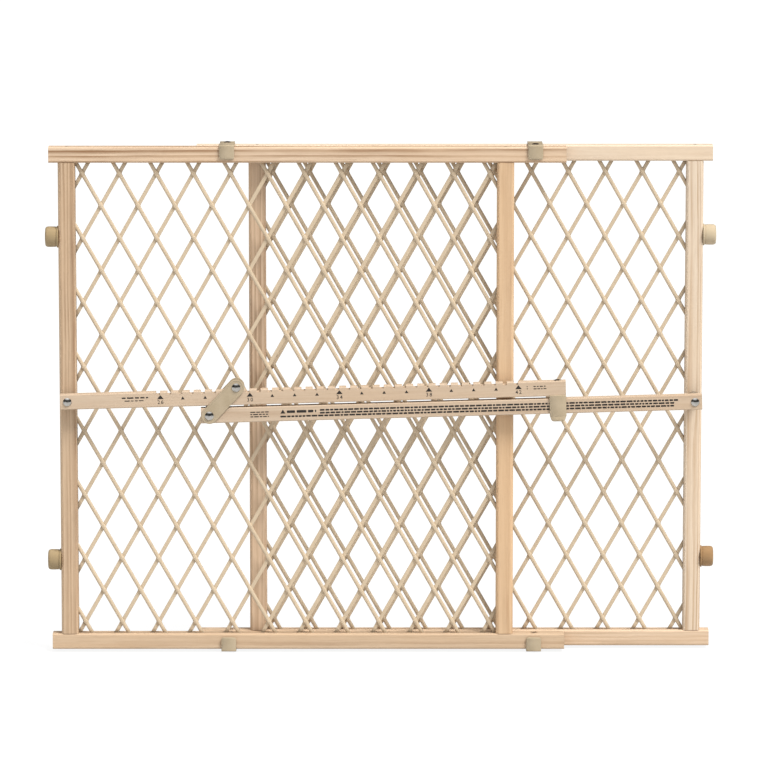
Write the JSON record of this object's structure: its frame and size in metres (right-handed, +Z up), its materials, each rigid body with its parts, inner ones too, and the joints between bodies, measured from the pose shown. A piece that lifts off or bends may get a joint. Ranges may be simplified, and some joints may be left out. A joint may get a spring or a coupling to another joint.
{
  "type": "baby safety gate",
  "caption": "Pressure-mounted baby gate: two sliding wood-framed lattice panels, rubber wall bumpers, and a toggle latch of a notched bar and a locking bar.",
  "frame": {"origin": "under the middle of the gate as it is set, level with its lowest point, the lower clip rivet heads", "axes": "+X along the gate to the right as seen from the latch side, +Y from the latch side to the back, +Z up"},
  "size_m": [0.762, 0.064, 0.5856],
  "materials": {
    "pine": "clear, unvarnished, open grain",
    "warm_pine": "clear, unvarnished, redder board",
    "bar_wood": "fine sanded, close grain",
    "lattice_plastic": "moulded, satin",
    "bumper_rubber": "moulded, matt",
    "clip_paint": "baked beige enamel, satin",
    "zinc": "zinc plated",
    "bright_rivet": "bright nickel plated",
    "dark_steel": "browned steel"
  },
  "bodies": {
    "front_panel": {"front_top_rail": "pine", "front_bottom_rail": "pine", "front_outer_stile": "pine", "front_inner_stile": "warm_pine", "front_lattice": "lattice_plastic", "front_lower_bumper": "bumper_rubber", "front_upper_bumper": "bumper_rubber", "front_bumper_screws": "zinc", "front_upper_clip": "clip_paint", "front_lower_clip": "clip_paint", "front_clip_rivets": "dark_steel", "front_frame_nails": "zinc", "left_pivot_rivet": "bright_rivet", "left_pivot_spacer": "zinc", "left_pivot_washer": "zinc"},
    "rear_panel": {"rear_top_rail": "pine", "rear_bottom_rail": "pine", "rear_outer_stile": "pine", "rear_inner_stile": "warm_pine", "rear_lattice": "lattice_plastic", "rear_lower_bumper": "bumper_rubber", "rear_upper_bumper": "bumper_rubber", "rear_bumper_screws": "zinc", "rear_upper_clip": "clip_paint", "rear_lower_clip": "clip_paint", "rear_clip_rivets": "dark_steel", "rear_frame_nails": "zinc", "right_pivot_rivet": "bright_rivet", "right_pivot_spacer": "zinc", "right_pivot_washer": "zinc"},
    "notched_bar": {"notched_bar": "bar_wood", "catch_clip": "clip_paint", "catch_screw": "dark_steel"},
    "locking_bar": {"locking_bar": "bar_wood"},
    "lever": {"lever_front_plate": "clip_paint", "lever_back_plate": "clip_paint", "lever_pivot_rivet": "bright_rivet", "lever_pin": "bright_rivet"}
  },
  "joints": [
    {"name": "panel_slide", "type": "slide", "parent": "front_panel", "child": "rear_panel", "axis": [1, 0, 0], "range_m": [-0.0889, 0.3175]},
    {"name": "notched_bar_raise", "type": "hinge", "parent": "front_panel", "child": "notched_bar", "pos_m": [-0.35625, -0.02185, 0.2928], "axis": [0, -1, 0], "range_deg": [0, 1.5]},
    {"name": "locking_bar_tilt", "type": "hinge", "parent": "rear_panel", "child": "locking_bar", "pos_m": [0.35625, -0.02185, 0.2928], "axis": [0, -1, 0], "range_deg": [-1, 0.3]},
    {"name": "lever_swing", "type": "hinge", "parent": "locking_bar", "child": "lever", "pos_m": [-0.19503, -0.02185, 0.27724], "axis": [0, -1, 0], "range_deg": [0, 33.01]}
  ],
  "couplings": [
    {"joint": "locking_bar_tilt", "follows": "panel_slide", "rad_per_m": -0.0543},
    {"joint": "lever_swing", "follows": "notched_bar_raise", "ratio": 22}
  ]
}
